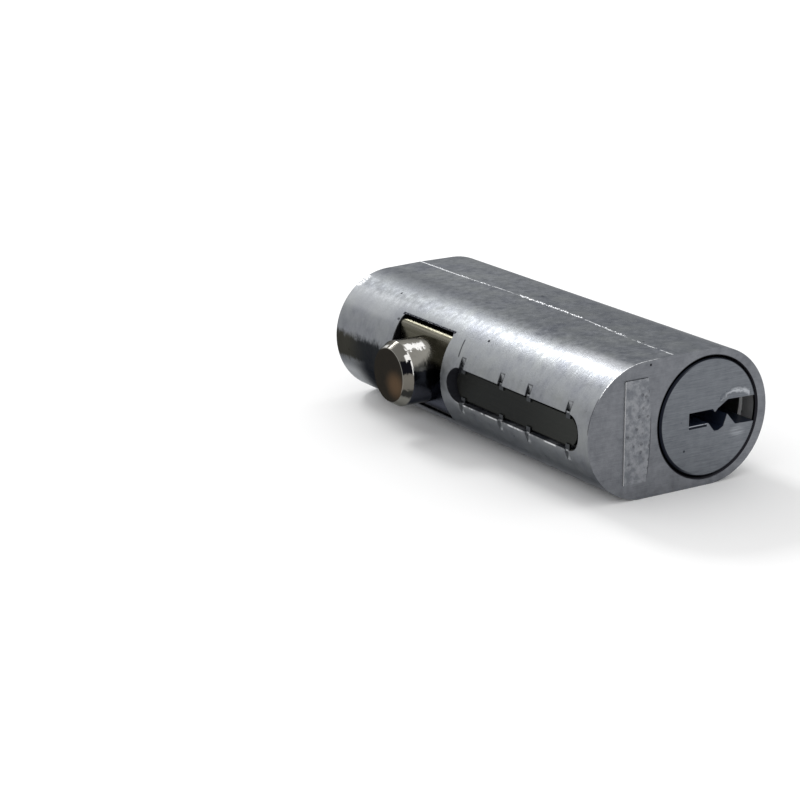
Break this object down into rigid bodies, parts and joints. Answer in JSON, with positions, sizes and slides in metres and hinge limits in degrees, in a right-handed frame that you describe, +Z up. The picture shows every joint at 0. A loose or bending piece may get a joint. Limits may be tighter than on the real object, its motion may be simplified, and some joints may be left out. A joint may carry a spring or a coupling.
{
  "type": "file cabinet lock",
  "caption": "Oval die-cast file cabinet lock: a key plug with spring-loaded pins turns 90 degrees and draws a round bolt into its side.",
  "frame": {"origin": "middle of the flat underside that the lock rests on, halfway along its length and halfway across the flat there", "axes": "+Y from the keyed front face to the rear, +Z up from the flat underside, +X towards the plug's lobe, so the bolt points along -X"},
  "size_m": [0.0268, 0.0491, 0.0147],
  "materials": {
    "housing_zinc": "satin",
    "plug_zinc": "satin",
    "nickel": "polished",
    "strip_steel": "polished",
    "brass": "satin",
    "spring_steel": "satin",
    "pin_steel": "satin"
  },
  "bodies": {
    "housing": {"housing": "housing_zinc", "pin_cover_strip": "strip_steel", "plug_retaining_pin": "pin_steel", "pin_spring_1": "spring_steel", "pin_spring_2": "spring_steel", "pin_spring_3": "spring_steel", "pin_spring_4": "spring_steel", "pin_spring_5": "spring_steel"},
    "plug": {"plug": "plug_zinc"},
    "bolt": {"bolt_block": "nickel", "bolt_nose": "nickel"},
    "key_pin_1": {"key_pin_1": "brass"},
    "driver_pin_1": {"driver_pin_1": "brass"},
    "key_pin_2": {"key_pin_2": "brass"},
    "driver_pin_2": {"driver_pin_2": "brass"},
    "key_pin_3": {"key_pin_3": "brass"},
    "driver_pin_3": {"driver_pin_3": "brass"},
    "key_pin_4": {"key_pin_4": "brass"},
    "driver_pin_4": {"driver_pin_4": "brass"},
    "key_pin_5": {"key_pin_5": "brass"},
    "driver_pin_5": {"driver_pin_5": "brass"}
  },
  "joints": [
    {"name": "plug_turn", "type": "hinge", "parent": "housing", "child": "plug", "pos_m": [0.00405, -0.02445, 0.00736], "axis": [0, 1, 0], "range_deg": [0, 90]},
    {"name": "bolt_slide", "type": "slide", "parent": "housing", "child": "bolt", "axis": [1, 0, 0], "range_m": [0, 0.004]},
    {"name": "driver_pin_1_slide", "type": "slide", "parent": "housing", "child": "driver_pin_1", "axis": [-1, 0, 0], "range_m": [0, 0.0018], "stiffness_N_per_m": 150, "springref_m": -0.003, "deforming": ["pin_spring_1"]},
    {"name": "key_pin_1_slide", "type": "slide", "parent": "plug", "child": "key_pin_1", "axis": [1, 0, 0], "range_m": [0, 0.0027]},
    {"name": "driver_pin_2_slide", "type": "slide", "parent": "housing", "child": "driver_pin_2", "axis": [-1, 0, 0], "range_m": [0, 0.0018], "stiffness_N_per_m": 150, "springref_m": -0.003, "deforming": ["pin_spring_2"]},
    {"name": "key_pin_2_slide", "type": "slide", "parent": "plug", "child": "key_pin_2", "axis": [1, 0, 0], "range_m": [0, 0.0017]},
    {"name": "driver_pin_3_slide", "type": "slide", "parent": "housing", "child": "driver_pin_3", "axis": [-1, 0, 0], "range_m": [0, 0.0018], "stiffness_N_per_m": 150, "springref_m": -0.003, "deforming": ["pin_spring_3"]},
    {"name": "key_pin_3_slide", "type": "slide", "parent": "plug", "child": "key_pin_3", "axis": [1, 0, 0], "range_m": [0, 0.0022]},
    {"name": "driver_pin_4_slide", "type": "slide", "parent": "housing", "child": "driver_pin_4", "axis": [-1, 0, 0], "range_m": [0, 0.0018], "stiffness_N_per_m": 150, "springref_m": -0.003, "deforming": ["pin_spring_4"]},
    {"name": "key_pin_4_slide", "type": "slide", "parent": "plug", "child": "key_pin_4", "axis": [1, 0, 0], "range_m": [0, 0.0012]},
    {"name": "driver_pin_5_slide", "type": "slide", "parent": "housing", "child": "driver_pin_5", "axis": [-1, 0, 0], "range_m": [0, 0.0018], "stiffness_N_per_m": 150, "springref_m": -0.003, "deforming": ["pin_spring_5"]},
    {"name": "key_pin_5_slide", "type": "slide", "parent": "plug", "child": "key_pin_5", "axis": [1, 0, 0], "range_m": [0, 0.0027]}
  ],
  "couplings": [
    {"joint": "bolt_slide", "follows": "plug_turn", "m_per_rad": 0.0025465}
  ]
}
